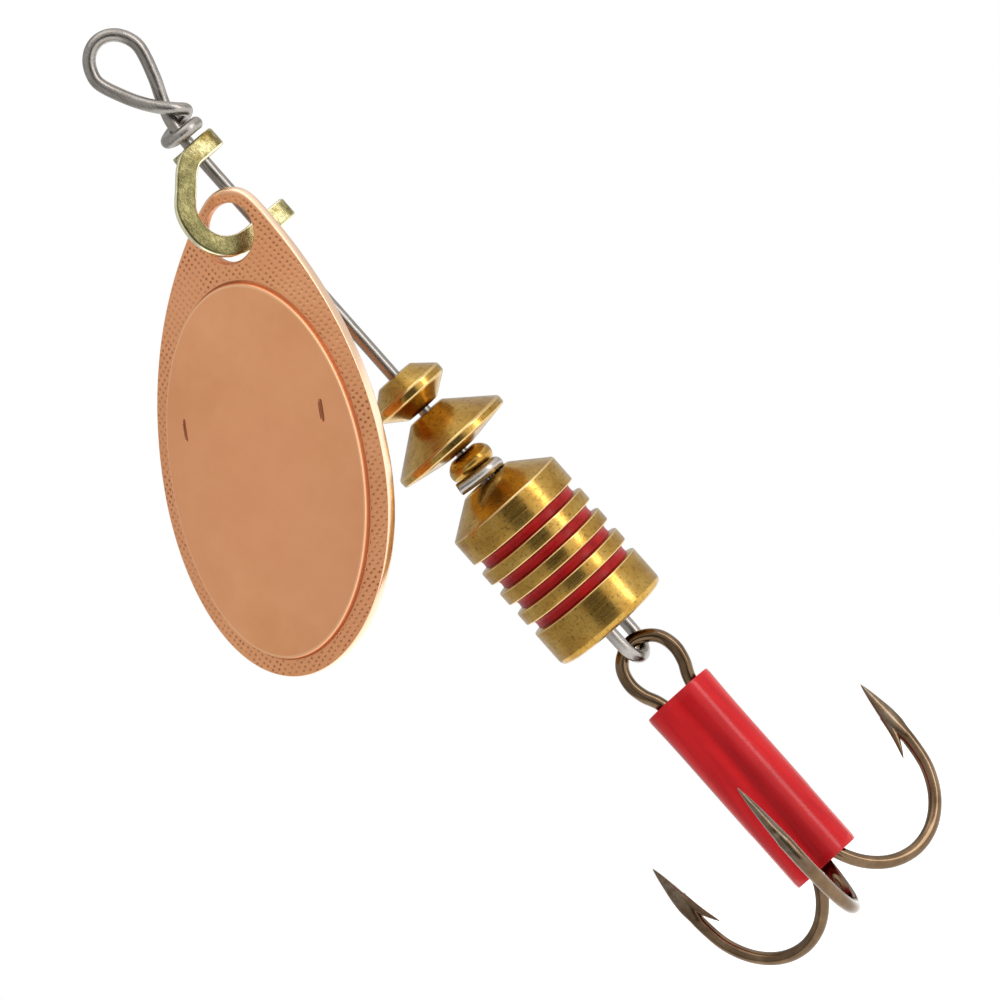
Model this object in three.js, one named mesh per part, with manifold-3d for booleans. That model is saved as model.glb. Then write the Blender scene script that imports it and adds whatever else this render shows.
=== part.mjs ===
// Inline spinner: a fishing lure of a blade, beads and a weighted body strung on one wire, with a treble hook.
// Millimetres, +Z up. The origin is where the line bears, inside the top of the wire's tie eye.
// The lure hangs down from the origin, and its front faces -Y.

import * as THREE from 'three';
import { mergeVertices } from 'three/addons/utils/BufferGeometryUtils.js';
import Module from 'manifold-3d';

const wasm = await Module();
wasm.setup();

// ---------------------------------------------------------------- driving dimensions

const WIRE_RADIUS = 0.435;
const WIRE_SIDES = 8;
const TURNED_SIDES = 30;

// Tie eye: a teardrop loop, closed by one turn round the shaft.
const EYE_HALF_WIDTH = 1.76;
const EYE_WIDEST = -1.6;
const TURN_RADIUS = 1.12;
const TURN_CENTRE_X = 0.2;
const TURN_TOP = -6.6;
const TURN_BOTTOM = -7.72;

// Clevis: a flat C that carries the blade, with an ear at each end folded round the shaft.
const CLEVIS_MIDDLE = -12.4;
const CLEVIS_TURN = 25;
const STRIP_WIDTH = 1.4;
const STRIP_THICKNESS = 0.55;
const EAR_INNER_RADIUS = 0.575;
const EAR_TAIL = 1.1;
const UPPER_EAR_REACH = 0.7;
const LOWER_EAR_REACH = 1.2;

// Blade: an egg outline, widest below its middle, with a raised oval panel and one hole.
const BLADE_HALF_WIDTH = 8.74;
const BLADE_WIDEST = -2.9;
const BLADE_UPPER_LENGTH = 18.85;
const BLADE_LOWER_LENGTH = 12.95;
const BLADE_TAPER = 1.54;
const BLADE_TIP_ROUNDING = 0.5;
const BLADE_TIP_SPREAD = 0.4;
const BLADE_THICKNESS = 0.8;
const PANEL_HALF_WIDTH = 7.6;
const PANEL_HALF_LENGTH = 12.3;
const PANEL_MIDDLE = -2.4;
const PANEL_RAISE = 0.5;
const BLADE_SAG = 1.3;
const BLADE_HOLE_RADIUS = 1.9;
const BLADE_HOLE_HEIGHT = 13.05;
const BLADE_LEAN = 32.1;
const BLADE_TURN = 34.4;
const BLADE_HOLE_CENTRE = [-1.7, -1.95, -14.5];
const BLADE_SIDES = 44;

// Beads, from the top down.
const BEAD_BORE_RADIUS = 0.52;
const BICONE_TOP = -28.4;
const CONE_TOP = -31.5;
const ROUND_MIDDLE = -35.9;
const ROUND_RADIUS = 1.62;
const ROUND_HALF_HEIGHT = 0.85;

// Body: a turned weight with four painted grooves.
const BODY_TOP = -37.4;
const BODY_SHOULDER = -39.1;
const BODY_BOTTOM = -49.85;
const BODY_RADIUS = 4.25;
const BODY_TOP_RADIUS = 1.85;
const BODY_THROAT_RADIUS = 1.55;
const BODY_BORE_RADIUS = 1.95;
const GROOVE_COUNT = 4;
const GROOVE_PITCH = 1.74;
const FIRST_GROOVE = -41.4;
const GROOVE_MOUTH = 0.78;
const GROOVE_FLOOR = 0.5;
const GROOVE_FLOOR_RADIUS = 3.55;
const ENAMEL_RADIUS = 3.73;
const ENAMEL_GAP = 0.03;

// Hook loop: the wire's U below the body, whose second leg runs back up through the bore.
const LOOP_RADIUS = 1.38;
const LOOP_BOTTOM = -52.66;
const LOOP_CENTRE_X = 0.1;
const LOOP_TURN = 25;
const TAG_LEG_X = 0.95;

// Treble hook, measured down from the point where it hangs on the loop.
const HOOK_WIRE_RADIUS = 0.45;
const HOOK_TILT = 9.2;
const HOOK_EYE_TOP = 1.12;
const HOOK_EYE_HALF_WIDTH = 1.92;
const HOOK_EYE_WIDEST = -0.94;
const SHANK_RADIUS = 0.6;
const SHANKS_MEET = -7;
const SINGLE_SHANK_TOP = -5.6;
const BEND_START = -15.5;
const BEND_HEIGHT = 5.65;
const HOOK_REACH = 10.6;
const POINT_TIP = -10.75;
const HOOK_AZIMUTHS = { left: 147, right: 27, front: -96 };
const BARB_THICKNESS = 0.35;

// Sleeve: a plastic tube pushed over the three shanks.
const SLEEVE_TOP = -3.45;
const SLEEVE_BOTTOM = -18;
const SLEEVE_RADIUS = 2.55;
const SLEEVE_FLARE = 0.08;
const SLEEVE_WALL = 0.42;

// ---------------------------------------------------------------- materials

const steel = new THREE.MeshStandardMaterial({ color: 0x8e8a84, roughness: 0.35, metalness: 1 });
const paleBrass = new THREE.MeshStandardMaterial({ color: 0xcfc68a, roughness: 0.3, metalness: 1 });
const copper = new THREE.MeshStandardMaterial({ color: 0xd9946c, roughness: 0.3, metalness: 1 });
const brass = new THREE.MeshStandardMaterial({ color: 0xb88c3a, roughness: 0.28, metalness: 1 });
const enamel = new THREE.MeshStandardMaterial({ color: 0xb01822, roughness: 0.3, metalness: 0 });
const bronze = new THREE.MeshStandardMaterial({ color: 0x6e5638, roughness: 0.3, metalness: 1 });
const redPlastic = new THREE.MeshStandardMaterial({ color: 0xd0202a, roughness: 0.25, metalness: 0 });

// ---------------------------------------------------------------- geometry helpers

const radians = THREE.MathUtils.degToRad;

const namedMesh = (name, geometry, material) => {
  const mesh = new THREE.Mesh(geometry, material);
  mesh.name = name;
  return mesh;
};

// A smooth curve whose steps are shared evenly between its knots: close knots give a bend finer facets.
class KnotCurve extends THREE.CatmullRomCurve3 {
  getUtoTmapping(u) {
    return u;
  }
}

const vector = ([x, y, z]) => new THREE.Vector3(x, y, z);

// A round wire along the knots.
const wire = (knots, radius, stepsPerKnot = 2) => {
  const section = new THREE.Shape();
  for (let side = 0; side < WIRE_SIDES; side += 1) {
    const angle = (2 * Math.PI * side) / WIRE_SIDES;
    const corner = [radius * Math.cos(angle), radius * Math.sin(angle)];
    if (side === 0) section.moveTo(...corner);
    else section.lineTo(...corner);
  }
  const path = new KnotCurve(knots.map(vector), false, 'centripetal');
  const steps = (knots.length - 1) * stepsPerKnot;
  return new THREE.ExtrudeGeometry(section, { steps, extrudePath: path, bevelEnabled: false });
};

// A solid turned about Z. The profile is a list of [radius, z], closed on itself or ending on the axis.
const turned = (profile, sides = TURNED_SIDES) => {
  const points = profile.map(([radius, z]) => new THREE.Vector2(radius, z));
  return new THREE.LatheGeometry(points, sides).rotateX(Math.PI / 2);
};

// A turned ring: the outer profile runs from the bottom up, and the bore closes it.
const turnedRing = (outer, bore) => turned([...outer, ...bore, outer[0]]);

const solidOf = (geometry) => {
  const bare = geometry.clone();
  bare.deleteAttribute('normal');
  bare.deleteAttribute('uv');
  const merged = mergeVertices(bare, 1e-4);
  return new wasm.Manifold(new wasm.Mesh({
    numProp: 3,
    vertProperties: Float32Array.from(merged.attributes.position.array),
    triVerts: Uint32Array.from(merged.index.array),
  }));
};

const geometryOf = (solid) => {
  const mesh = solid.getMesh();
  const geometry = new THREE.BufferGeometry();
  geometry.setAttribute('position', new THREE.BufferAttribute(Float32Array.from(mesh.vertProperties), 3));
  geometry.setIndex(new THREE.BufferAttribute(Uint32Array.from(mesh.triVerts), 1));
  geometry.computeVertexNormals();
  return geometry;
};

const joined = (geometries) => geometryOf(geometries.map(solidOf).reduce((whole, next) => whole.add(next)));

const polygon = (points) => new THREE.Shape(points.map(([x, y]) => new THREE.Vector2(x, y)));

const extruded = (shape, depth, curveSegments = 8) => new THREE.ExtrudeGeometry(shape, {
  depth,
  curveSegments,
  bevelEnabled: false,
});

// ---------------------------------------------------------------- wire shaft

// The closing turn, from above the shaft's right side round behind it to its cut end at the right.
const turnKnots = () => {
  const knots = [];
  const steps = 10;
  for (let step = 0; step <= steps; step += 1) {
    const share = step / steps;
    const angle = radians(-5 + 355 * share);
    knots.push([
      TURN_CENTRE_X + TURN_RADIUS * Math.cos(angle),
      TURN_RADIUS * Math.sin(angle),
      THREE.MathUtils.lerp(TURN_TOP, TURN_BOTTOM, Math.min(1, 1.35 * share)),
    ]);
  }
  return knots;
};

// The teardrop's rounded top, from its left side over to its right side.
const eyeKnots = () => {
  const knots = [];
  const steps = 8;
  for (let step = 0; step <= steps; step += 1) {
    const angle = Math.PI * (1 - step / steps);
    knots.push([
      EYE_HALF_WIDTH * Math.cos(angle),
      0,
      EYE_WIDEST + (WIRE_RADIUS - EYE_WIDEST) * Math.sin(angle),
    ]);
  }
  return knots;
};

// The U that carries the hook, from the front leg round to the back leg.
const loopPoint = (angle) => {
  const along = LOOP_RADIUS * Math.cos(angle);
  return [
    LOOP_CENTRE_X + along * Math.sin(radians(LOOP_TURN)),
    along * Math.cos(radians(LOOP_TURN)),
    LOOP_BOTTOM + LOOP_RADIUS + LOOP_RADIUS * Math.sin(angle),
  ];
};

const loopKnots = () => {
  const knots = [];
  const steps = 8;
  for (let step = 0; step <= steps; step += 1) {
    knots.push(loopPoint(-Math.PI + (Math.PI * step) / steps));
  }
  return knots;
};

const wireShaft = () => {
  const [frontX, frontY] = loopPoint(-Math.PI);
  const [backX, backY] = loopPoint(0);
  const legsMeet = BODY_SHOULDER - 1.2;
  const legsPart = BODY_BOTTOM + 3.4;
  const knots = [
    ...turnKnots().reverse(),
    [0.85, -0.6, -6.15],
    [0.2, -0.64, -5.45],
    [-0.42, -0.45, -4.6],
    [-1.08, -0.14, -3.4],
    ...eyeKnots(),
    [1.2, 0.2, -3.7],
    [0.62, 0.34, -5.1],
    [0.14, 0.2, -6.5],
    [0, 0, -8.4],
    [0, 0, BICONE_TOP],
    [0, 0, BODY_TOP],
    [0, 0, legsMeet],
    [0.5 * frontX, 0.5 * frontY, (legsMeet + legsPart) / 2],
    [frontX, frontY, legsPart],
    ...loopKnots(),
    [backX, backY, legsPart],
    [(backX + TAG_LEG_X) / 2, 0.5 * backY, (legsMeet + legsPart) / 2],
    [TAG_LEG_X, 0, legsMeet],
    [TAG_LEG_X, 0, BODY_TOP - 0.6],
    [1.1, -0.3, BODY_TOP + 0.1],
    [1.18, -1.05, BODY_TOP + 0.5],
    [0.6, -1.7, BODY_TOP + 0.58],
    [-0.5, -1.95, BODY_TOP + 0.66],
    [-1.75, -1.95, BODY_TOP + 0.8],
  ];
  return namedMesh('wire_shaft', wire(knots, WIRE_RADIUS), steel);
};

// ---------------------------------------------------------------- clevis

// One flat side of the C: the middle line moved sideways by half the strip's width.
const offsetLine = (line, distance, steps) => {
  const points = [];
  for (let step = 0; step <= steps; step += 1) {
    const point = line.getPoint(step / steps);
    const tangent = line.getTangent(step / steps);
    points.push([point.x - distance * tangent.y, point.y + distance * tangent.x]);
  }
  return points;
};

const clevisBow = () => {
  const middleLine = new THREE.SplineCurve([
    [0.1, 3.24],
    [-1, 3.16],
    [-1.75, 2.75],
    [-2.6, 1.95],
    [-3.7, 0.8],
    [-4.05, -0.4],
    [-3.95, -1.5],
    [-3.35, -2.45],
    [-2.25, -3.05],
    [0.1, -3.2],
  ].map(([x, z]) => new THREE.Vector2(x, z)));
  const outer = offsetLine(middleLine, STRIP_WIDTH / 2, 24);
  const inner = offsetLine(middleLine, -STRIP_WIDTH / 2, 24);
  return extruded(polygon([...outer, ...inner.reverse()]), STRIP_THICKNESS)
    .rotateX(Math.PI / 2)
    .translate(0, -EAR_INNER_RADIUS, 0);
};

// An ear: the strip passes in front of the shaft, folds round its right side and ends behind it.
const clevisEar = (reach, height) => {
  const outerRadius = EAR_INNER_RADIUS + STRIP_THICKNESS;
  const ear = new THREE.Shape();
  ear.moveTo(-0.6, -outerRadius);
  ear.lineTo(reach, -outerRadius);
  ear.absarc(reach, 0, outerRadius, -Math.PI / 2, Math.PI / 2, false);
  ear.lineTo(-EAR_TAIL, outerRadius);
  ear.lineTo(-EAR_TAIL, EAR_INNER_RADIUS);
  ear.lineTo(reach, EAR_INNER_RADIUS);
  ear.absarc(reach, 0, EAR_INNER_RADIUS, Math.PI / 2, -Math.PI / 2, true);
  ear.lineTo(-0.6, -EAR_INNER_RADIUS);
  return extruded(ear, STRIP_WIDTH, 6).translate(0, 0, height - STRIP_WIDTH / 2);
};

const clevis = () => {
  const mesh = namedMesh('clevis', joined([
    clevisBow(),
    clevisEar(UPPER_EAR_REACH, 3.24),
    clevisEar(LOWER_EAR_REACH, -3.2),
  ]), paleBrass);
  const placed = new THREE.Group();
  placed.position.z = CLEVIS_MIDDLE;
  placed.rotation.z = radians(CLEVIS_TURN);
  placed.add(mesh);
  return placed;
};

// ---------------------------------------------------------------- blade

// A point of the flat blade. Ring 0 is the panel's centre, 1 the panel's edge and 2 the outline.
const bladePoint = (ring, angle) => {
  const upper = Math.sin(angle) > 0;
  const outlineLength = upper ? BLADE_UPPER_LENGTH : BLADE_LOWER_LENGTH;
  const cosine = Math.cos(angle);
  const tipShare = Math.exp(-((cosine / BLADE_TIP_SPREAD) ** 2));
  const outlinePower = upper ? BLADE_TAPER - BLADE_TIP_ROUNDING * tipShare : 1;
  const outline = new THREE.Vector2(
    BLADE_HALF_WIDTH * Math.sign(cosine) * Math.abs(cosine) ** outlinePower,
    BLADE_WIDEST + outlineLength * Math.sin(angle),
  );
  const centre = new THREE.Vector2(0, PANEL_MIDDLE);
  const panel = new THREE.Vector2(
    PANEL_HALF_WIDTH * cosine,
    PANEL_MIDDLE + PANEL_HALF_LENGTH * Math.sin(angle),
  );
  if (ring <= 1) return centre.lerp(panel, ring);
  return panel.lerp(outline, ring - 1);
};

// How far the dished sheet falls away from its middle.
const bladeSag = (x, y) => {
  const across = x / BLADE_HALF_WIDTH;
  const along = (y - PANEL_MIDDLE) / BLADE_UPPER_LENGTH;
  return BLADE_SAG * (across ** 2 + along ** 2);
};

const bladeSheet = () => {
  const half = BLADE_THICKNESS / 2;
  const edge = half - 0.2;
  const face = [[0, PANEL_RAISE], [0.5, PANEL_RAISE], [0.94, PANEL_RAISE], [1, 0], [1.5, 0], [1.95, 0]];
  const back = face.map(([ring, raise]) => new THREE.Vector2(ring, raise - half));
  const front = face.map(([ring, raise]) => new THREE.Vector2(ring, raise + half)).reverse();
  const rim = [new THREE.Vector2(2, -edge), new THREE.Vector2(2, edge)];
  const sheet = new THREE.LatheGeometry([...back, ...rim, ...front], BLADE_SIDES).rotateX(Math.PI / 2);
  const position = sheet.attributes.position;
  for (let i = 0; i < position.count; i += 1) {
    const ring = Math.hypot(position.getX(i), position.getY(i));
    const point = bladePoint(ring, Math.atan2(position.getY(i), position.getX(i)));
    position.setXYZ(i, point.x, point.y, position.getZ(i) - bladeSag(point.x, point.y));
  }
  return sheet;
};

const blade = () => {
  const holeCutter = new THREE.CylinderGeometry(BLADE_HOLE_RADIUS, BLADE_HOLE_RADIUS, 6, 28)
    .rotateX(Math.PI / 2)
    .translate(0, BLADE_HOLE_HEIGHT, -BLADE_SAG);
  const geometry = geometryOf(solidOf(bladeSheet()).subtract(solidOf(holeCutter)));
  geometry.translate(0, -BLADE_HOLE_HEIGHT, bladeSag(0, BLADE_HOLE_HEIGHT));
  const mesh = namedMesh('blade', geometry, copper);
  mesh.rotation.x = Math.PI / 2;
  const turn = new THREE.Group();
  turn.rotation.z = -radians(BLADE_TURN);
  turn.add(mesh);
  const lean = new THREE.Group();
  lean.rotation.y = radians(BLADE_LEAN);
  lean.position.set(...BLADE_HOLE_CENTRE);
  lean.add(turn);
  return lean;
};

// ---------------------------------------------------------------- beads

const bead = (name, outer) => {
  const bottom = outer[0][1];
  const top = outer.at(-1)[1];
  const bore = [[BEAD_BORE_RADIUS, top], [BEAD_BORE_RADIUS, bottom]];
  return namedMesh(name, turnedRing(outer, bore), brass);
};

const biconeBead = () => bead('bicone_bead', [
  [1.2, BICONE_TOP - 2.8],
  [2.55, BICONE_TOP - 1.85],
  [2.69, BICONE_TOP - 1.65],
  [2.69, BICONE_TOP - 1.25],
  [2.55, BICONE_TOP - 1.1],
  [1.33, BICONE_TOP],
]);

const coneBead = () => bead('cone_bead', [
  [1.3, CONE_TOP - 3.35],
  [4.15, CONE_TOP - 2.85],
  [4.25, CONE_TOP - 2.75],
  [4.25, CONE_TOP - 2.3],
  [4.15, CONE_TOP - 2.2],
  [1.33, CONE_TOP],
]);

const roundBead = () => {
  const outer = [];
  const steps = 8;
  const flatAngle = radians(55);
  for (let step = 0; step <= steps; step += 1) {
    const angle = -flatAngle + (2 * flatAngle * step) / steps;
    outer.push([
      ROUND_RADIUS * Math.cos(angle),
      ROUND_MIDDLE + (ROUND_HALF_HEIGHT * Math.sin(angle)) / Math.sin(flatAngle),
    ]);
  }
  return bead('round_bead', outer);
};

// ---------------------------------------------------------------- body

const grooveMiddle = (index) => FIRST_GROOVE - index * GROOVE_PITCH;

const body = () => {
  const outer = [
    [3.8, BODY_BOTTOM],
    [4.13, BODY_BOTTOM + 0.12],
    [BODY_RADIUS, BODY_BOTTOM + 0.4],
  ];
  for (let index = GROOVE_COUNT - 1; index >= 0; index -= 1) {
    const middle = grooveMiddle(index);
    outer.push([BODY_RADIUS, middle - GROOVE_MOUTH / 2]);
    outer.push([GROOVE_FLOOR_RADIUS, middle - GROOVE_FLOOR / 2]);
    outer.push([GROOVE_FLOOR_RADIUS, middle + GROOVE_FLOOR / 2]);
    outer.push([BODY_RADIUS, middle + GROOVE_MOUTH / 2]);
  }
  outer.push([BODY_RADIUS, BODY_SHOULDER]);
  outer.push([BODY_TOP_RADIUS, BODY_TOP]);
  const bore = [
    [BODY_THROAT_RADIUS + 0.15, BODY_TOP],
    [BODY_THROAT_RADIUS, BODY_TOP - 0.3],
    [BODY_THROAT_RADIUS, BODY_SHOULDER],
    [BODY_BORE_RADIUS, BODY_SHOULDER - 0.4],
    [BODY_BORE_RADIUS, BODY_BOTTOM],
  ];
  return namedMesh('body', turnedRing(outer, bore), brass);
};

// The paint in one groove, as the ring that it sets to.
const enamelRing = (index) => {
  const middle = grooveMiddle(index);
  const half = GROOVE_FLOOR / 2 - ENAMEL_GAP;
  const inner = GROOVE_FLOOR_RADIUS + ENAMEL_GAP;
  return namedMesh(`enamel_ring_${index + 1}`, turnedRing(
    [[ENAMEL_RADIUS, middle - half], [ENAMEL_RADIUS, middle + half]],
    [[inner, middle + half], [inner, middle - half]],
  ), enamel);
};

// ---------------------------------------------------------------- treble hook

// A point at a distance from the hook's own axis.
const atAzimuth = (azimuth, distance, height) => [
  distance * Math.cos(radians(azimuth)),
  distance * Math.sin(radians(azimuth)),
  height,
];

// One hook's wire, from the spear's base round the bend and up to where the shanks meet.
const bendKnots = (azimuth) => {
  const middle = (HOOK_REACH + SHANK_RADIUS) / 2;
  const half = (HOOK_REACH - SHANK_RADIUS) / 2;
  const knots = [];
  const steps = 8;
  for (let step = 0; step <= steps; step += 1) {
    const angle = (-Math.PI * step) / steps;
    const distance = middle + half * Math.cos(angle);
    knots.push(atAzimuth(azimuth, distance, BEND_START + BEND_HEIGHT * Math.sin(angle)));
  }
  knots.push(atAzimuth(azimuth, SHANK_RADIUS, (BEND_START + SHANKS_MEET) / 2));
  return knots;
};

// The forged spear point: it swells a little above the wire and then tapers to its tip.
const spear = (azimuth) => {
  const profile = [
    [0, BEND_START - 0.3],
    [HOOK_WIRE_RADIUS - 0.02, BEND_START - 0.3],
    [0.5, BEND_START + 1.2],
    [0.4, BEND_START + 2.2],
    [0.22, BEND_START + 3.4],
    [0.03, POINT_TIP],
    [0, POINT_TIP],
  ];
  const [x, y] = atAzimuth(azimuth, HOOK_REACH, 0);
  return turned(profile, 10).translate(x, y, 0);
};

// The barb: a thin wedge cut from the spear's inner side, pointing back down.
const barb = (azimuth) => {
  const wedge = polygon([
    [HOOK_REACH - 0.1, BEND_START + 0.4],
    [HOOK_REACH - 0.1, BEND_START + 1.9],
    [HOOK_REACH - 1.25, BEND_START - 0.7],
  ]);
  return extruded(wedge, BARB_THICKNESS)
    .rotateX(Math.PI / 2)
    .translate(0, BARB_THICKNESS / 2, 0)
    .rotateZ(radians(azimuth));
};

// Half of the hook's eye, from the sleeve up to its top; side is -1 for the left and 1 for the right.
const hookEyeKnots = (side) => [
  [side * 1.3, 0, -3.1],
  [side * 1.75, 0, -2.05],
  [side * HOOK_EYE_HALF_WIDTH, 0, HOOK_EYE_WIDEST],
  [side * 1.62, 0, 0.15],
  [side * 0.95, 0, 0.8],
];

const hookDouble = () => {
  const arm = (azimuth, side) => [
    ...bendKnots(azimuth),
    atAzimuth(azimuth, SHANK_RADIUS, SHANKS_MEET),
    ...hookEyeKnots(side),
  ];
  const knots = [
    ...arm(HOOK_AZIMUTHS.left, -1),
    [0, 0, HOOK_EYE_TOP],
    ...arm(HOOK_AZIMUTHS.right, 1).reverse(),
  ];
  const points = [HOOK_AZIMUTHS.left, HOOK_AZIMUTHS.right].flatMap((azimuth) => [spear(azimuth), barb(azimuth)]);
  return namedMesh('hook_double', joined([wire(knots, HOOK_WIRE_RADIUS), ...points]), bronze);
};

const hookSingle = () => {
  const azimuth = HOOK_AZIMUTHS.front;
  const knots = [...bendKnots(azimuth), atAzimuth(azimuth, SHANK_RADIUS, SINGLE_SHANK_TOP)];
  const pieces = [wire(knots, HOOK_WIRE_RADIUS), spear(azimuth), barb(azimuth)];
  return namedMesh('hook_single', joined(pieces), bronze);
};

const hookSleeve = () => {
  const inner = SLEEVE_RADIUS - SLEEVE_WALL;
  const outer = [
    [SLEEVE_RADIUS, SLEEVE_BOTTOM],
    [SLEEVE_RADIUS, SLEEVE_TOP - 3],
    [SLEEVE_RADIUS + SLEEVE_FLARE, SLEEVE_TOP],
  ];
  const bore = [[inner + SLEEVE_FLARE, SLEEVE_TOP], [inner, SLEEVE_TOP - 3], [inner, SLEEVE_BOTTOM]];
  return namedMesh('hook_sleeve', turnedRing(outer, bore), redPlastic);
};

const trebleHook = () => {
  const hook = new THREE.Group();
  hook.position.set(LOOP_CENTRE_X, 0, LOOP_BOTTOM);
  hook.rotation.x = -radians(HOOK_TILT);
  hook.add(hookDouble(), hookSingle(), hookSleeve());
  return hook;
};

// ---------------------------------------------------------------- assembly

const lure = new THREE.Group();
lure.add(
  wireShaft(),
  clevis(),
  blade(),
  biconeBead(),
  coneBead(),
  roundBead(),
  body(),
);
for (let index = 0; index < GROOVE_COUNT; index += 1) {
  lure.add(enamelRing(index));
}
lure.add(trebleHook());

export default lure;
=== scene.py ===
"""Inline spinner lure: the finished look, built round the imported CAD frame.

Lengths are in millimetres until a mesh is made.
"""

import math

import bpy
import numpy as np
from mathutils import Matrix, Vector


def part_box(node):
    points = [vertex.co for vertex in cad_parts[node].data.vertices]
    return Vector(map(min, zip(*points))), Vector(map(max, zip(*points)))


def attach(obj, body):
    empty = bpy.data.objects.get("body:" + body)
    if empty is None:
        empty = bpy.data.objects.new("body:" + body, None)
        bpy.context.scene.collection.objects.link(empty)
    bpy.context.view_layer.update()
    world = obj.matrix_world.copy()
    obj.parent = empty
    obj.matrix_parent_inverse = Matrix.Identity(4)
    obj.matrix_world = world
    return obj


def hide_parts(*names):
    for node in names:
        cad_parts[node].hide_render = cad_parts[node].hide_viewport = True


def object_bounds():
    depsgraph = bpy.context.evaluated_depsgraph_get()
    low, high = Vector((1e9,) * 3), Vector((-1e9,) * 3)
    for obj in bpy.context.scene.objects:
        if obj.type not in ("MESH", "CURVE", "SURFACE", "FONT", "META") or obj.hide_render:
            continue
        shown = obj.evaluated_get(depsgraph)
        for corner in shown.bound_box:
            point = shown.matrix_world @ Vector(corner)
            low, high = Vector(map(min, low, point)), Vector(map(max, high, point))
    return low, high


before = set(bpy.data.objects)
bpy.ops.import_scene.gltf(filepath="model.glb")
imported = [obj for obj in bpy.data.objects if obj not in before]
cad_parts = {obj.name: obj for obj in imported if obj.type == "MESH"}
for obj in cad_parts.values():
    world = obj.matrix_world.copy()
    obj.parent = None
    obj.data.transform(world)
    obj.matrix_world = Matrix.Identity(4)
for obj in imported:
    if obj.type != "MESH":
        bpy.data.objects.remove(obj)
cad_low, cad_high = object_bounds()

MM = 0.001

# ---------------------------------------------------------------- dimensions, mostly as in the CAD

WIRE_RADIUS = 0.435
EYE_HALF_WIDTH = 1.76
EYE_WIDEST = -1.6
TURN_RADIUS = 1.12
TURN_CENTRE_X = 0.2
TURN_TOP = -6.6
TURN_BOTTOM = -7.72
TURN_FALL_RATE = 1.35

CLEVIS_MIDDLE = -12.4
CLEVIS_TURN = 25
STRIP_WIDTH = 1.4
STRIP_THICKNESS = 0.55
STRIP_CORNER = 0.2
EAR_FOLD_RADIUS = 0.85
EAR_TAIL = 1.1
EAR_STRAIGHT_STEPS = 8
EAR_FOLD_STEPS = 16
EAR_FADE = 12
UPPER_EAR_REACH = 0.7
LOWER_EAR_REACH = 1.2

BLADE_HALF_WIDTH = 8.74
BLADE_WIDEST = -2.9
BLADE_UPPER_LENGTH = 18.85
BLADE_LOWER_LENGTH = 12.95
BLADE_TAPER = 1.54
BLADE_TIP_ROUNDING = 0.5
BLADE_TIP_SPREAD = 0.4
BLADE_THICKNESS = 0.8
PANEL_HALF_WIDTH = 7.6
PANEL_HALF_LENGTH = 12.3
PANEL_MIDDLE = -2.4
PANEL_RAISE = 0.4
PANEL_FOOT = 1.005
PANEL_STEP = 0.022
BLADE_SAG = 1.3
BLADE_HOLE_RADIUS = 1.9
BLADE_HOLE_HEIGHT = 13.05
BLADE_LEAN = 32.1
BLADE_TURN = 34.4
BLADE_HOLE_CENTRE = (-1.7, -1.95, -14.5)
HOLE_LIP = 0.16
# The foot ring is painted shade at the base of the panel's step; the shoulder ring is a painted
# highlight on its top.
BLADE_ZONES = {"border": (1.03, 1.93), "painted_shade": (0.992, 1.012), "shoulder": (0.972, 0.988)}
DASH_ACROSS = 5.4
DASH_MIDDLE = 0.95
DASH_HALF_LENGTH = 0.75
DASH_RADIUS = 0.15
DOTS_DIAGONAL = 0.7071

BEAD_BORE_RADIUS = 0.52
BICONE_BEAD_RADIUS = 2.69
CONE_BEAD_RADIUS = 4.25
ROUND_BEAD_RADIUS = 1.62
ROUND_BEAD_FLAT = 55
BODY_RADIUS = 4.25
GROOVE_COUNT = 4
GROOVE_PITCH = 1.74
FIRST_GROOVE = -41.4
GROOVE_MOUTH = 0.78
GROOVE_FLOOR = 0.5
GROOVE_FLOOR_RADIUS = 3.55
ENAMEL_RADIUS = 3.73
BODY_THROAT_RADIUS = 1.55
BODY_BORE_RADIUS = 1.95
BODY_TOP_RADIUS = 1.85
BODY_CONE_HEIGHT = 1.7

LOOP_RADIUS = 1.38
LOOP_BOTTOM = -52.66
LOOP_CENTRE_X = 0.1
LOOP_TURN = 25
TAG_LEG_X = 0.95

HOOK_WIRE_RADIUS = 0.45
HOOK_TILT = 9.2
HOOK_EYE_TOP = 1.12
HOOK_EYE_HALF_WIDTH = 1.92
HOOK_EYE_WIDEST = -0.94
SHANK_RADIUS = 0.6
SHANKS_MEET = -7.0
SINGLE_SHANK_TOP = -5.6
BEND_START = -15.5
BEND_HEIGHT = 5.65
HOOK_REACH = 10.6
POINT_TIP = -10.75
HOOK_AZIMUTHS = {"left": 147, "right": 27, "front": -96}
SLEEVE_TOP = -3.45
SLEEVE_BOTTOM = -18.0
SLEEVE_RADIUS = 2.55
SLEEVE_WALL = 0.42
SLEEVE_FLARE = 0.07
SLEEVE_LOBES = 0.055
CREASE_DEPTH = 0.07
CREASE_WIDTH = 0.13
# How far round the tube the painted crease shade reaches on the left and on the right.
CREASE_SHADE_LEFT = 0.15
CREASE_SHADE_RIGHT = 0.48

WIRE_SIDES = 28
TURNED_SIDES = 160
FILLET_STEPS = 5

# ---------------------------------------------------------------- camera

CAMERA_DISTANCE = 300.0
CAMERA_ELEVATION = 3.5
CAMERA_ROLL = 41.52
VIEW_WIDTH = 64.9
VIEW_CENTRE = (-0.18, 0.0, -38.95)
SENSOR_WIDTH = 36.0


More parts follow.
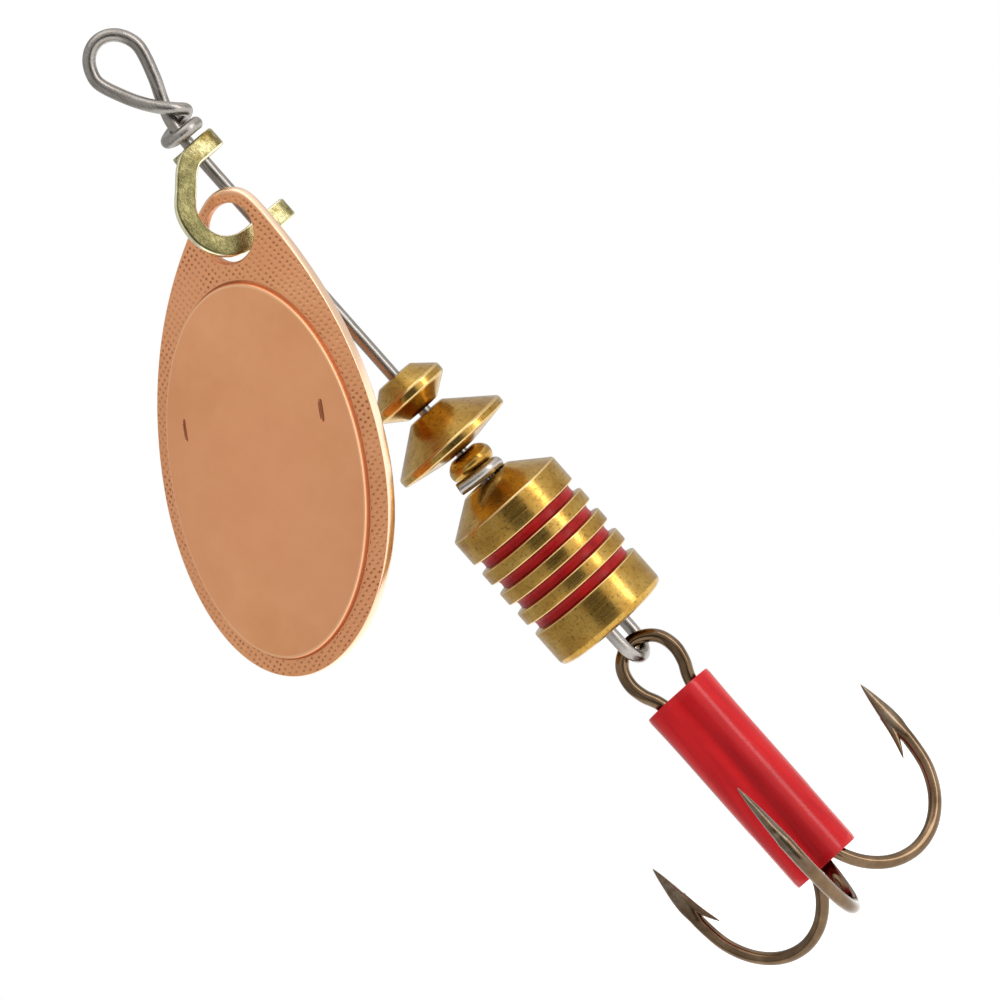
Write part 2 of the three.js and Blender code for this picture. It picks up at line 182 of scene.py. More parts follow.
def make_camera():
    """A long lens in front of the lure, rolled so that the tie eye is at the upper left."""
    data = bpy.data.cameras.new("camera")
    data.sensor_width = SENSOR_WIDTH
    data.lens = SENSOR_WIDTH * CAMERA_DISTANCE / VIEW_WIDTH
    data.clip_start = 10 * MM
    data.clip_end = 20
    camera = bpy.data.objects.new("camera", data)
    bpy.context.scene.collection.objects.link(camera)
    elevation = math.radians(CAMERA_ELEVATION)
    back = Vector((0, -math.cos(elevation), math.sin(elevation)))
    camera.location = (Vector(VIEW_CENTRE) + back * CAMERA_DISTANCE) * MM
    upright = (-back).to_track_quat("-Z", "Y")
    roll = Matrix.Rotation(math.radians(-CAMERA_ROLL), 4, "Z")
    camera.matrix_world = Matrix.Translation(camera.location) @ upright.to_matrix().to_4x4() @ roll
    bpy.context.scene.camera = camera


make_camera()

# ---------------------------------------------------------------- mesh helpers


def new_object(name, vertices, faces, material, sharp_angle=35):
    """A smooth-shaded mesh object from points in millimetres."""
    mesh = bpy.data.meshes.new(name)
    mesh.from_pydata([Vector(v) * MM for v in vertices], [], faces)
    mesh.validate()
    mesh.update()
    mesh.shade_smooth()
    mesh.set_sharp_from_angle(angle=math.radians(sharp_angle))
    mesh.materials.append(material)
    made = bpy.data.objects.new(name, mesh)
    bpy.context.scene.collection.objects.link(made)
    return made


def finish_piece(piece, body, slot, *nodes):
    """The piece rides on its body, and stands for the CAD nodes."""
    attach(piece, body)
    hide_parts(*nodes)


def point_values(piece, name):
    """A new attribute with one number per vertex, for the piece's material to read."""
    return piece.data.attributes.new(name, "FLOAT", "POINT").data


def angles_round(count):
    return [2 * math.pi * c / count for c in range(count)]


def grid_faces(rings, columns, close_rings=False):
    """Quads between successive rings of a closed column loop."""
    faces = []
    last = rings if close_rings else rings - 1
    for r in range(last):
        lower = r * columns
        upper = ((r + 1) % rings) * columns
        for c in range(columns):
            following = (c + 1) % columns
            faces.append((lower + c, lower + following, upper + following, upper + c))
    return faces


def capped_faces(rings, columns):
    """The quads of an open column of rings, closed by a flat face at each end."""
    faces = grid_faces(rings, columns)
    faces.append(tuple(reversed(range(columns))))
    faces.append(tuple(range((rings - 1) * columns, rings * columns)))
    return faces


def smooth_path(knots, per_knot):
    """A centripetal Catmull-Rom curve through the knots, as points."""
    knots = [np.array(k, float) for k in knots]
    ends = [2 * knots[0] - knots[1], *knots, 2 * knots[-1] - knots[-2]]
    points = []
    for i in range(1, len(ends) - 2):
        p0, p1, p2, p3 = ends[i - 1 : i + 3]
        t0 = max(np.linalg.norm(p1 - p0), 1e-4) ** 0.5
        t1 = max(np.linalg.norm(p2 - p1), 1e-4) ** 0.5
        t2 = max(np.linalg.norm(p3 - p2), 1e-4) ** 0.5
        m1 = ((p1 - p0) / t0 - (p2 - p0) / (t0 + t1) + (p2 - p1) / t1) * t1
        m2 = ((p2 - p1) / t1 - (p3 - p1) / (t1 + t2) + (p3 - p2) / t2) * t1
        for s in range(per_knot):
            t = s / per_knot
            points.append(
                (2 * t**3 - 3 * t**2 + 1) * p1
                + (t**3 - 2 * t**2 + t) * m1
                + (3 * t**2 - 2 * t**3) * p2
                + (t**3 - t**2) * m2
            )
    points.append(knots[-1])
    return np.array(points)


def path_frames(points):
    """The tangent and two side directions at each point, carried along without twist."""
    tangents = np.gradient(points, axis=0)
    tangents /= np.linalg.norm(tangents, axis=1)[:, None]
    side = np.cross(tangents[0], (0.3, 1.0, 0.2))
    sides = []
    for tangent in tangents:
        side = side - tangent * (side @ tangent)
        side = side / np.linalg.norm(side)
        sides.append(side)
    sides = np.array(sides)
    return tangents, sides, np.cross(tangents, sides)


def tube_mesh(points, radius, end_round=0.25, sides=WIRE_SIDES):
    """A round wire along the points, with its cut ends rounded off by a share of its radius."""
    tangents, across, up = path_frames(points)
    angles = np.arange(sides) * 2 * math.pi / sides
    circle = np.outer(np.cos(angles), (1, 0)) + np.outer(np.sin(angles), (0, 1))
    rings = []

    def add_ring(index, shift, scale):
        centre = points[index] + tangents[index] * shift
        spread = circle[:, :1] * across[index] + circle[:, 1:] * up[index]
        rings.append(centre + radius * scale * spread)

    steps = [math.radians(a) for a in (90, 60, 30)]
    for angle in steps:
        scale = 1 - end_round * (1 - math.cos(angle))
        add_ring(0, end_round * radius * (1 - math.sin(angle)), scale)
    for i in range(1, len(points) - 1):
        add_ring(i, 0, 1)
    for angle in reversed(steps):
        scale = 1 - end_round * (1 - math.cos(angle))
        add_ring(len(points) - 1, -end_round * radius * (1 - math.sin(angle)), scale)
    vertices = np.concatenate(rings).tolist()
    faces = grid_faces(len(rings), sides)
    first_cap = len(vertices)
    vertices.append(points[0].tolist())
    vertices.append(points[-1].tolist())
    last_ring = (len(rings) - 1) * sides
    for c in range(sides):
        following = (c + 1) % sides
        faces.append((first_cap, following, c))
        faces.append((first_cap + 1, last_ring + c, last_ring + following))
    return vertices, faces


def turned_mesh(profile):
    """A ring turned about Z from a closed profile of (radius, z)."""
    vertices = []
    for radius, z in profile:
        for angle in angles_round(TURNED_SIDES):
            vertices.append((radius * math.cos(angle), radius * math.sin(angle), z))
    return vertices, grid_faces(len(profile), TURNED_SIDES, close_rings=True)


def filleted(corners):
    """A closed profile whose corners (radius, z, fillet) are rounded."""
    profile = []
    count = len(corners)
    for i, (r, z, fillet) in enumerate(corners):
        here = Vector((r, z))
        if fillet == 0:
            profile.append(tuple(here))
            continue
        before = Vector(corners[i - 1][:2])
        after = Vector(corners[(i + 1) % count][:2])
        to_before, to_after = before - here, after - here
        reach = min(fillet, 0.45 * to_before.length, 0.45 * to_after.length)
        start = here + to_before.normalized() * reach
        end = here + to_after.normalized() * reach
        for s in range(FILLET_STEPS + 1):
            t = s / FILLET_STEPS
            profile.append(tuple((1 - t) ** 2 * start + 2 * t * (1 - t) * here + t**2 * end))
    return profile


def apply_modifiers(piece):
    """Puts the result of a piece's modifiers into its mesh."""
    evaluated = piece.evaluated_get(bpy.context.evaluated_depsgraph_get())
    mesh = bpy.data.meshes.new_from_object(evaluated)
    piece.modifiers.clear()
    piece.data = mesh


def combine(piece, other, operation):
    """Joins the other object to the piece, or cuts it out, and removes the other."""
    modifier = piece.modifiers.new("combine", "BOOLEAN")
    modifier.operation = operation
    modifier.solver = "EXACT"
    modifier.object = other
    bpy.context.view_layer.update()
    apply_modifiers(piece)
    bpy.data.objects.remove(other)


# ---------------------------------------------------------------- material helpers


class Shader:
    """A material's node tree, with short calls for the nodes used here.

    Patterns are in object space, in millimetres.
    """

    def __init__(self, name, metallic=0.0, **sockets):
        self.material = bpy.data.materials.new(name)
        self.material.use_nodes = True
        self.tree = self.material.node_tree
        self.bsdf = self.tree.nodes["Principled BSDF"]
        self.bsdf.inputs["Metallic"].default_value = metallic
        for socket, value in sockets.items():
            self.bsdf.inputs[socket.replace("_", " ")].default_value = value
        coordinates = self.node("ShaderNodeTexCoord").outputs["Object"]
        self.place = self.vector("SCALE", coordinates, scale=1 / MM)

    def node(self, kind, **settings):
        made = self.tree.nodes.new(kind)
        for name, value in settings.items():
            setattr(made, name, value)
        return made

    def link(self, source, target):
        self.tree.links.new(source, target)

    def feed(self, target, value):
        if isinstance(value, bpy.types.NodeSocket):
            self.link(value, target)
        else:
            target.default_value = value

    def vector(self, operation, a, b=None, scale=None):
        made = self.node("ShaderNodeVectorMath", operation=operation)
        self.feed(made.inputs[0], a)
        if b is not None:
            self.feed(made.inputs[1], b)
        if scale is not None:
            made.inputs["Scale"].default_value = scale
        return made.outputs[0]

    def stretched(self, scales):
        return self.vector("MULTIPLY", self.place, scales)

    def math(self, operation, a, b=0.0):
        made = self.node("ShaderNodeMath", operation=operation)
        self.feed(made.inputs[0], a)
        self.feed(made.inputs[1], b)
        return made.outputs[0]

    def noise(self, scale, detail, roughness=0.55, place=None):
        made = self.node("ShaderNodeTexNoise")
        self.link(place or self.place, made.inputs["Vector"])
        made.inputs["Scale"].default_value = scale
        made.inputs["Detail"].default_value = detail
        made.inputs["Roughness"].default_value = roughness
        return made.outputs["Fac"]

    def height(self):
        parts = self.node("ShaderNodeSeparateXYZ")
        self.link(self.place, parts.inputs[0])
        return parts.outputs["Z"]

    def ramp(self, value, *stops):
        made = self.node("ShaderNodeValToRGB")
        self.link(value, made.inputs["Fac"])
        elements = made.color_ramp.elements
        while len(elements) < len(stops):
            elements.new(0.5)
        for element, (position, colour) in zip(elements, stops):
            element.position = position
            element.color = (*colour, 1)
        return made.outputs["Color"]

    def mix(self, share, a, b):
        made = self.node("ShaderNodeMix", data_type="RGBA")
        self.feed(made.inputs["Factor"], share)
        for socket, value in ((made.inputs["A"], a), (made.inputs["B"], b)):
            self.feed(socket, value if isinstance(value, bpy.types.NodeSocket) else (*value, 1))
        return made.outputs["Result"]

    def scaled(self, value, low, high, source_low=0.3, source_high=0.7):
        made = self.node("ShaderNodeMapRange")
        self.link(value, made.inputs["Value"])
        made.inputs["From Min"].default_value = source_low
        made.inputs["From Max"].default_value = source_high
        made.inputs["To Min"].default_value = low
        made.inputs["To Max"].default_value = high
        return made.outputs["Result"]

    def attribute(self, name):
        return self.node("ShaderNodeAttribute", attribute_name=name).outputs["Fac"]

    def bump(self, height, distance, strength, normal=None):
        made = self.node("ShaderNodeBump")
        self.link(height, made.inputs["Height"])
        made.inputs["Strength"].default_value = strength
        made.inputs["Distance"].default_value = distance * MM
        if normal is not None:
            self.link(normal, made.inputs["Normal"])
        return made.outputs["Normal"]

    def radial_place(self):
        """Distance from the Z axis and height, for marks that run round a turned piece."""
        parts = self.node("ShaderNodeSeparateXYZ")
        self.link(self.place, parts.inputs[0])
        x, y, z = parts.outputs
        squares = self.math("ADD", self.math("MULTIPLY", x, x), self.math("MULTIPLY", y, y))
        together = self.node("ShaderNodeCombineXYZ")
        self.link(self.math("SQRT", squares), together.inputs[0])
        self.link(z, together.inputs[1])
        return together.outputs[0]

    def finish(self, colour, roughness, normal=None):
        self.feed(self.bsdf.inputs["Base Color"], colour)
        self.feed(self.bsdf.inputs["Roughness"], roughness)
        if normal is not None:
            self.link(normal, self.bsdf.inputs["Normal"])
        return self.material


def steel_material():
    """Drawn wire with fine lines along it, and a painted highlight that lightens it where it comes
    out of the body.
    """
    s = Shader("drawn_steel", metallic=1.0)
    lines = s.noise(3.0, 6, place=s.stretched((5, 5, 0.35)))
    cloud = s.noise(0.5, 3)
    colour = s.ramp(
        lines, (0.25, (0.2, 0.185, 0.17)), (0.5, (0.32, 0.3, 0.28)), (0.8, (0.46, 0.44, 0.42))
    )
    colour = s.mix(s.scaled(cloud, 0, 0.45), colour, (0.28, 0.25, 0.22))
    inside_body = s.scaled(s.height(), 1.0, 0.0, -37.5, -35.0)
    # Painted highlight: lightens the wire from just above the body's top downwards, weakest on the
    # U below the body.
    lower_wire_highlight = s.math("MULTIPLY", inside_body, s.scaled(s.height(), 0.35, 0.8, -48.0, -40.0))
    colour = s.mix(lower_wire_highlight, colour, (0.5, 0.47, 0.45))
    roughness = s.scaled(lines, 0.2, 0.34)
    return s.finish(colour, roughness, s.bump(lines, 0.01, 0.35))


def clevis_face_material():
    """Coined strip: dull and pitted on the bow, with a painted highlight making the ears brighter.
    """
    s = Shader("coined_brass", metallic=1.0)
    grain = s.noise(6.0, 5, 0.65, place=s.stretched((1.0, 1.0, 0.6)))
    patches = s.noise(1.3, 4, 0.55)
    ear = s.attribute("ear")
    colour = s.ramp(
        patches,
        (0.34, (0.12, 0.11, 0.046)),
        (0.5, (0.17, 0.152, 0.066)),
        (0.66, (0.25, 0.225, 0.1)),
    )
    ear_highlight = s.ramp(
        patches,
        (0.36, (0.22, 0.155, 0.045)),
        (0.46, (0.38, 0.33, 0.15)),
        (0.62, (0.54, 0.49, 0.26)),
    )
    # Painted highlight: the ears take the lighter colour, by the ear share.
    colour = s.mix(ear, colour, ear_highlight)
    colour = s.mix(s.scaled(grain, 0.5, 0.0, 0.36, 0.56), colour, (0.08, 0.06, 0.02))
    return s.finish(colour, s.scaled(grain, 0.34, 0.2), s.bump(grain, 0.04, 0.7))


def clevis_edge_material():
    # The strip's narrow sides: pale as sheared metal, and lightened further as a painted highlight.
    s = Shader("sheared_brass_and_highlight", metallic=1.0)
    shear = s.noise(2.5, 4)
    colour = s.ramp(shear, (0.3, (0.74, 0.7, 0.44)), (0.7, (0.93, 0.9, 0.68)))
    return s.finish(colour, s.scaled(shear, 0.16, 0.3), s.bump(shear, 0.02, 0.4))


def copper_material():
    """Satin copper plate; the border carries rows of fine punched dots and the panel is smooth."""
    s = Shader("copper_plate", metallic=1.0)
    border = s.attribute("border")
    edge = s.attribute("edge")
    painted_shade = s.attribute("painted_shade")
    shoulder = s.attribute("shoulder")
    clouds = s.noise(0.22, 5, 0.6)
    satin = s.noise(14.0, 3, 0.6)
    dots = s.node("ShaderNodeTexVoronoi", voronoi_dimensions="2D")
    dots.inputs["Scale"].default_value = 2.6
    dots.inputs["Randomness"].default_value = 0.25
    sheet = s.node("ShaderNodeAttribute", attribute_name="sheet")
    s.link(sheet.outputs["Vector"], dots.inputs["Vector"])
    pit = s.math("MULTIPLY", border, s.scaled(dots.outputs["Distance"], 1.0, 0.0, 0.1, 0.34))
    stain = s.scaled(s.noise(0.3, 3), 0.3, 0.95, 0.4, 0.62)
    colour = s.ramp(
        clouds, (0.3, (0.76, 0.35, 0.165)), (0.55, (0.82, 0.395, 0.195)), (0.75, (0.86, 0.43, 0.22))
    )
    rosy = s.scaled(s.noise(0.12, 3), 0, 0.5, 0.4, 0.65)
    colour = s.mix(rosy, colour, (0.8, 0.36, 0.19))
    colour = s.mix(s.math("MULTIPLY", pit, stain), colour, (0.3, 0.1, 0.04))
    # Painted shade: darkens the foot of the panel's step, the dash grooves and the hole's wall.
    colour = s.mix(s.math("MULTIPLY", painted_shade, 0.75), colour, (0.24, 0.07, 0.03))
    # Painted highlight: a cream line along the shoulder of the panel's step.
    colour = s.mix(s.math("MULTIPLY", shoulder, 0.4), colour, (0.98, 0.7, 0.45))
    # Painted highlight: the blade's rim lightened towards cream.
    colour = s.mix(s.math("MULTIPLY", edge, 0.65), colour, (0.98, 0.8, 0.62))
    roughness = s.math("ADD", s.scaled(satin, 0.3, 0.4), s.math("MULTIPLY", border, 0.06))
    roughness = s.math("SUBTRACT", roughness, s.math("MULTIPLY", edge, 0.14))
    fine = s.bump(satin, 0.01, 0.35)
    sunk = s.math("SUBTRACT", 1.0, pit)
    return s.finish(colour, roughness, s.bump(sunk, 0.035, 0.8, fine))


def brass_material():
    """Turned brass: fine rings left by the tool, brown tarnish in patches, bright worn edges."""
    s = Shader("turned_brass", metallic=1.0)
    rings = s.noise(9.0, 4, 0.6, place=s.radial_place())
    patches = s.noise(0.55, 6, 0.62)
    specks = s.noise(4.5, 5, 0.7)
    colour = s.ramp(
        patches, (0.3, (0.33, 0.165, 0.03)), (0.48, (0.48, 0.285, 0.062)), (0.68, (0.6, 0.4, 0.11))
    )
    colour = s.mix(s.scaled(rings, 0.0, 0.4, 0.35, 0.65), colour, (0.38, 0.2, 0.04))
    colour = s.mix(s.scaled(specks, 0.65, 0.0, 0.36, 0.46), colour, (0.12, 0.055, 0.012))
    colour = s.mix(s.math("MULTIPLY", s.attribute("edge"), 0.5), colour, (0.86, 0.67, 0.36))
    roughness = s.math("ADD", s.scaled(rings, 0.1, 0.22), s.scaled(patches, 0.1, 0.0))
    fine = s.bump(rings, 0.008, 0.4)
    return s.finish(colour, roughness, s.bump(specks, 0.008, 0.25, fine))


def enamel_material():
    s = Shader("red_enamel", Specular_IOR_Level=0.15)
    clouds = s.noise(1.2, 4)
    colour = s.ramp(clouds, (0.3, (0.28, 0.003, 0.004)), (0.7, (0.44, 0.008, 0.007)))
    return s.finish(colour, s.scaled(clouds, 0.22, 0.36), s.bump(s.noise(3.0, 3), 0.03, 0.35))


def bronze_material():
    """Bronzed hook steel: a glossy brown lacquer, rubbed to grey steel on the ground points."""
    s = Shader("bronzed_steel", metallic=1.0, Coat_Weight=0.3, Coat_Roughness=0.08)
    clouds = s.noise(0.6, 3)
    specks = s.noise(7.0, 4)
    colour = s.ramp(
        clouds, (0.3, (0.1, 0.06, 0.029)), (0.5, (0.145, 0.09, 0.047)), (0.7, (0.2, 0.13, 0.073))
    )
    colour = s.mix(s.scaled(specks, 0.3, 0.0, 0.34, 0.44), colour, (0.055, 0.034, 0.019))
    height = s.height()
    above_bends = s.scaled(height, 0, 1, -68.5, -66.5)
    below_eye = s.scaled(height, 1, 0, -60, -58)
    points = s.math("MULTIPLY", above_bends, below_eye)
    rubbed = s.math("MULTIPLY", points, s.scaled(s.noise(2.2, 4), 0.05, 0.5, 0.4, 0.6))
    colour = s.mix(rubbed, colour, (0.24, 0.21, 0.17))
    roughness = s.math("ADD", s.scaled(clouds, 0.1, 0.17), s.math("MULTIPLY", points, 0.08))
    return s.finish(colour, roughness, s.bump(specks, 0.005, 0.2))


def sleeve_material():
    """Red plastic tube, with painted shade darkening it along the crease over the front shank."""
    s = Shader("red_tube", Specular_IOR_Level=0.22, Coat_Weight=0.06, Coat_Roughness=0.05)
    streaks = s.noise(0.8, 4, place=s.stretched((1.6, 1.6, 0.12)))
    dust = s.noise(6.0, 4)
    colour = s.ramp(streaks, (0.3, (0.4, 0.003, 0.007)), (0.7, (0.56, 0.009, 0.012)))
    # Painted shade: the crease share darkens the tube along the crease.
    colour = s.mix(s.math("MULTIPLY", s.attribute("crease"), 0.85), colour, (0.17, 0.002, 0.004))
    return s.finish(colour, s.scaled(dust, 0.14, 0.22), s.bump(dust, 0.005, 0.2))


STEEL = steel_material()
CLEVIS_FACE = clevis_face_material()
CLEVIS_EDGE = clevis_edge_material()
COPPER = copper_material()
BRASS = brass_material()
ENAMEL = enamel_material()
BRONZE = bronze_material()
TUBE_RED = sleeve_material()

# ---------------------------------------------------------------- wire shaft


def arc_knots(centre, radius_x, radius_y, start, sweep, steps, plane="xy", drop=(0.0, 0.0)):
    """Points round an ellipse in the plane, falling from drop[0] to drop[1] before the end."""
    knots = []
    for step in range(steps + 1):
        share = step / steps
        angle = math.radians(start + sweep * share)
        a, b = radius_x * math.cos(angle), radius_y * math.sin(angle)
        fall = drop[0] + (drop[1] - drop[0]) * min(1, TURN_FALL_RATE * share)
        offset = (a, b, fall) if plane == "xy" else (a, 0, b)
        knots.append(tuple(c + o for c, o in zip(centre, offset)))
    return knots


def loop_point(angle):
    """A point of the U that carries the hook."""
    along = LOOP_RADIUS * math.cos(angle)
    turn = math.radians(LOOP_TURN)
    return (
        LOOP_CENTRE_X + along * math.sin(turn),
        along * math.cos(turn),
        LOOP_BOTTOM + LOOP_RADIUS * (1 + math.sin(angle)),
    )


def wire_shaft():
    """One wire: the coil, the tie eye, the shaft, the U under the body and the tag end above it."""
    body_low, body_high = (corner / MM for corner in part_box("body"))
    legs_meet = body_high.z - BODY_CONE_HEIGHT - 1.2
    legs_part = body_low.z + 3.4
    halfway = (legs_meet + legs_part) / 2
    front_x, front_y, _ = loop_point(-math.pi)
    back_x, back_y, _ = loop_point(0)
    turn_centre = (TURN_CENTRE_X, 0, 0)
    fall = (TURN_TOP, TURN_BOTTOM)
    turn = arc_knots(turn_centre, TURN_RADIUS, TURN_RADIUS, -5, 355, 10, drop=fall)
    eye_height = WIRE_RADIUS - EYE_WIDEST
    eye = arc_knots((0, 0, EYE_WIDEST), EYE_HALF_WIDTH, eye_height, 180, -180, 8, plane="xz")
    loop = [loop_point(-math.pi + math.pi * step / 8) for step in range(9)]
    bead_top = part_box("bicone_bead")[1].z / MM
    knots = [
        *reversed(turn),
        (0.85, -0.6, -6.15),
        (0.2, -0.64, -5.45),
        (-0.42, -0.45, -4.6),
        (-1.08, -0.14, -3.4),
        *eye,
        (1.2, 0.2, -3.7),
        (0.62, 0.34, -5.1),
        (0.14, 0.2, -6.5),
        (0, 0, -8.4),
        (0, 0, -9.4),
        (0, 0, bead_top),
        (0, 0, body_high.z),
        (0, 0, legs_meet),
        (0.5 * front_x, 0.5 * front_y, halfway),
        (front_x, front_y, legs_part),
        *loop,
        (back_x, back_y, legs_part),
        ((back_x + TAG_LEG_X) / 2, 0.5 * back_y, halfway),
        (TAG_LEG_X, 0, legs_meet),
        (TAG_LEG_X, 0, body_high.z - 0.6),
        (1.1, -0.3, body_high.z + 0.1),
        (1.18, -1.05, body_high.z + 0.5),
        (0.6, -1.7, body_high.z + 0.58),
        (-0.5, -1.95, body_high.z + 0.66),
        (-1.75, -1.95, body_high.z + 0.8),
    ]
    piece = new_object("wire", *tube_mesh(smooth_path(knots, 9), WIRE_RADIUS), STEEL)
    finish_piece(piece, "wire", "steel_wire", "wire_shaft")


# ---------------------------------------------------------------- clevis


def clevis_line():
    """The strip's middle line and its width direction, in the clevis's own frame."""
    points, widths = [], []

    def add(point, width):
        points.append(Vector(point))
        widths.append(Vector(width))

    def ear(reach, height, width, order):
        straight = np.linspace(-EAR_TAIL, reach, EAR_STRAIGHT_STEPS + 1)[:-1]
        stretch = [(x, EAR_FOLD_RADIUS) for x in straight]
        fold = []
        for step in range(EAR_FOLD_STEPS + 1):
            angle = math.radians(90 - 180 * step / EAR_FOLD_STEPS)
            ahead = reach + EAR_FOLD_RADIUS * math.cos(angle)
            fold.append((ahead, EAR_FOLD_RADIUS * math.sin(angle)))
        for x, y in (stretch + fold)[::order]:
            add((x, y, height), width)

    bow = [
        (0.1, 3.24),
        (-1, 3.16),
        (-1.75, 2.75),
        (-2.6, 1.95),
        (-3.7, 0.8),
        (-4.05, -0.4),
        (-3.95, -1.5),
        (-3.35, -2.45),
        (-2.25, -3.05),
        (0.1, -3.2),
    ]
    ear(UPPER_EAR_REACH, bow[0][1], (0, 0, -1), 1)
    line = smooth_path([(x, 0, z) for x, z in bow], 8)
    slopes = np.gradient(line, axis=0)
    slopes[0], slopes[-1] = (-1, 0, 0), (1, 0, 0)
    for (x, _, z), (slope_x, _, slope_z) in zip(line, slopes):
        add((x, -EAR_FOLD_RADIUS, z), Vector((-slope_z, 0, slope_x)).normalized())
    ear(LOWER_EAR_REACH, bow[-1][1], (0, 0, 1), -1)
    return points, widths


def strip_section():
    """The strip's section as (across, through): a rectangle with rounded corners."""
    straight_width = STRIP_WIDTH / 2 - STRIP_CORNER
    straight_thickness = STRIP_THICKNESS / 2 - STRIP_CORNER
    section = []
    for quarter, (sx, sy) in enumerate(((1, 1), (-1, 1), (-1, -1), (1, -1))):
        for step in range(5):
            angle = math.radians(90 * quarter + 90 * step / 4)
            section.append((
                sx * straight_width + STRIP_CORNER * math.cos(angle),
                sy * straight_thickness + STRIP_CORNER * math.sin(angle),
            ))
    return section


def clevis():
    points, widths = clevis_line()
    section = strip_section()
    placed = Matrix.Translation((0, 0, CLEVIS_MIDDLE))
    placed @= Matrix.Rotation(math.radians(CLEVIS_TURN), 4, "Z")
    vertices = []
    for i, (point, width) in enumerate(zip(points, widths)):
        ahead = points[min(i + 1, len(points) - 1)] - points[max(i - 1, 0)]
        through = ahead.normalized().cross(width)
        for across, depth in section:
            vertices.append(placed @ (point + width * across + through * depth))
    rings, columns = len(points), len(section)
    faces = capped_faces(rings, columns)
    piece = new_object("clevis_strip", vertices, faces, CLEVIS_FACE, sharp_angle=60)
    piece.data.materials.append(CLEVIS_EDGE)
    half_way = columns // 2
    narrow_sides = {columns - 2, columns - 1, 0, 1, 2, *range(half_way - 3, half_way + 3)}
    for polygon in piece.data.polygons[: (rings - 1) * columns]:
        if polygon.index % columns in narrow_sides:
            polygon.material_index = 1
    # The ear share is where the strip's material paints its highlight, fading in along the strip.
    ear = point_values(piece, "ear")
    fade_end = EAR_STRAIGHT_STEPS + EAR_FOLD_STEPS + 1 + EAR_FADE
    for i in range(rings):
        from_end = min(i, rings - 1 - i)
        share = min(1.0, max(0.0, (fade_end - from_end) / EAR_FADE))
        for c in range(columns):
            ear[i * columns + c].value = share
    finish_piece(piece, "clevis", "pale_brass", "clevis")


# ---------------------------------------------------------------- blade


def blade_point(ring, angle):
    """A point of the flat blade. Ring 0 is the panel's centre, 1 its edge and 2 the outline."""
    upper = math.sin(angle) > 0
    length = BLADE_UPPER_LENGTH if upper else BLADE_LOWER_LENGTH
    cosine, sine = math.cos(angle), math.sin(angle)
    tip_share = math.exp(-((cosine / BLADE_TIP_SPREAD) ** 2))
    power = BLADE_TAPER - BLADE_TIP_ROUNDING * tip_share if upper else 1
    out = BLADE_HALF_WIDTH * math.copysign(abs(cosine) ** power, cosine)
    outline = Vector((out, BLADE_WIDEST + length * sine))
    centre = Vector((0, PANEL_MIDDLE))
    panel = Vector((PANEL_HALF_WIDTH * cosine, PANEL_MIDDLE + PANEL_HALF_LENGTH * sine))
    if ring <= 1:
        return centre.lerp(panel, ring)
    return panel.lerp(outline, ring - 1)


def blade_sag(x, y):
    """How far the dished sheet falls back from the middle of its panel."""
    along = (y - PANEL_MIDDLE) / BLADE_UPPER_LENGTH
    return BLADE_SAG * ((x / BLADE_HALF_WIDTH) ** 2 + along**2)


def panel_raise(ring):
    """The stamped step: the panel stands proud, with a short rounded slope at its edge."""
    share = min(1, max(0, (PANEL_FOOT - ring) / PANEL_STEP))
    return PANEL_RAISE * share * share * (3 - 2 * share)


def blade_rings():
    """The section as (ring, height, edge), from the back's centre round the rim to the front's."""
    half = BLADE_THICKNESS / 2
    panel = np.linspace(0.02, 0.93, 26)
    step = np.linspace(0.95, 1.015, 16)
    border = np.linspace(1.05, 1.93, 24)
    face = [*panel, *step, *border]
    back = [(ring, panel_raise(ring) - half, 0) for ring in face]
    front = [(ring, panel_raise(ring) + half, 0) for ring in reversed(face)]
    rim = []
    for turn in range(13):
        angle = math.radians(-90 + 180 * turn / 12)
        # The rim's edge share carries the copper material's painted highlight.
        edge = 1 if 1 < turn < 11 else 0.5
        rim.append((1.95 + 0.05 * math.cos(angle), half * math.sin(angle), edge))
    return back + rim + front


def blade_placement():
    """From the blade's own frame, with its hole at the origin, to where it hangs."""
    placed = Matrix.Translation(BLADE_HOLE_CENTRE)
    placed @= Matrix.Rotation(math.radians(BLADE_LEAN), 4, "Y")
    placed @= Matrix.Rotation(-math.radians(BLADE_TURN), 4, "Z")
    placed @= Matrix.Rotation(math.pi / 2, 4, "X")
    return placed @ Matrix.Translation((0, -BLADE_HOLE_HEIGHT, blade_sag(0, BLADE_HOLE_HEIGHT)))


def hole_cutter(placed):
    """A cutter that leaves the hole with softly rounded lips on both faces."""
    half = BLADE_THICKNESS / 2
    levels = [
        (half + 2, HOLE_LIP * 4),
        (half + 0.02, HOLE_LIP),
        (half - 0.05, HOLE_LIP * 0.45),
        (half - HOLE_LIP, 0.02),
        (0, 0),
    ]
    heights = [(-z, extra) for z, extra in levels]
    heights += [(z, extra) for z, extra in reversed(levels[:-1])]
    vertices = []
    sides = 96
    middle = -blade_sag(0, BLADE_HOLE_HEIGHT)
    for height, extra in heights:
        radius = BLADE_HOLE_RADIUS + extra
        for angle in angles_round(sides):
            vertices.append(placed @ Vector((
                radius * math.cos(angle),
                BLADE_HOLE_HEIGHT + radius * math.sin(angle),
                middle + height,
            )))
    return new_object("hole_cutter", vertices, capped_faces(len(heights), sides), COPPER)


def dash_cutter(placed, side):
    """A small capsule that leaves a plain short groove on the panel, along the blade."""
    across = side * DASH_ACROSS
    points = []
    for step in range(-8, 9):
        y = DASH_MIDDLE + DASH_HALF_LENGTH * step / 8
        surface = PANEL_RAISE + BLADE_THICKNESS / 2 - blade_sag(across, y)
        lift = 0.03 + 0.08 * abs(step / 8) ** 4
        points.append((across, y, surface + lift))
    vertices, faces = tube_mesh(np.array(points), DASH_RADIUS, end_round=0.9, sides=20)
    return new_object("dash_cutter", [placed @ Vector(v) for v in vertices], faces, COPPER)


